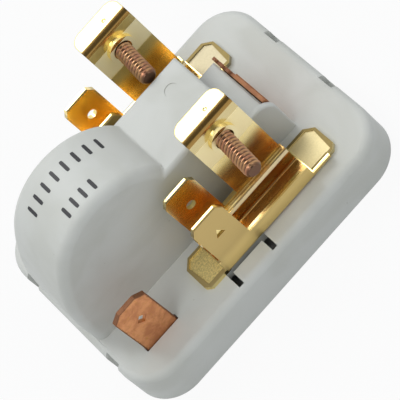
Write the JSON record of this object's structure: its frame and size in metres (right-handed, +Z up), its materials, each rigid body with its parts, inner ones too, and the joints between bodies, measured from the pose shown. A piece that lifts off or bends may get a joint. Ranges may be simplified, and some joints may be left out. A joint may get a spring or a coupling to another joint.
{
  "type": "compressor start relay",
  "caption": "Push-on compressor start relay with a domed thermistor housing, brass line terminals with clamp screws and a copper start tab.",
  "frame": {"origin": "centre of the housing's flat bottom face", "axes": "+X along the long side away from the dome, +Y from the front terminal ledge towards the rear terminal, +Z up out of the deck"},
  "size_m": [0.0548, 0.0414, 0.0313],
  "materials": {
    "housing_plastic": "satin moulded light grey",
    "brass_plate": "bright rolled sheet",
    "screw_plating": "bronze-tinted plating",
    "copper_strip": "dull copper sheet",
    "spring_steel": "bright spring strip",
    "disc_ceramic": "dark ceramic with metallised faces"
  },
  "bodies": {
    "root": {"housing": "housing_plastic", "bottom_cover": "housing_plastic", "line_terminal_front": "brass_plate", "line_terminal_rear": "brass_plate", "clamp_screw_front": "screw_plating", "clamp_screw_rear": "screw_plating", "start_tab": "copper_strip", "run_contact": "copper_strip", "common_link": "copper_strip", "thermistor_disc": "disc_ceramic", "contact_spring_front": "spring_steel", "contact_spring_rear": "spring_steel", "spring_rivet_front": "brass_plate", "spring_rivet_rear": "brass_plate", "start_pin_socket": "brass_plate", "run_pin_socket": "brass_plate", "common_pin_socket": "brass_plate", "start_socket_clip": "spring_steel", "run_socket_clip": "spring_steel", "common_socket_clip": "spring_steel"}
  },
  "joints": []
}
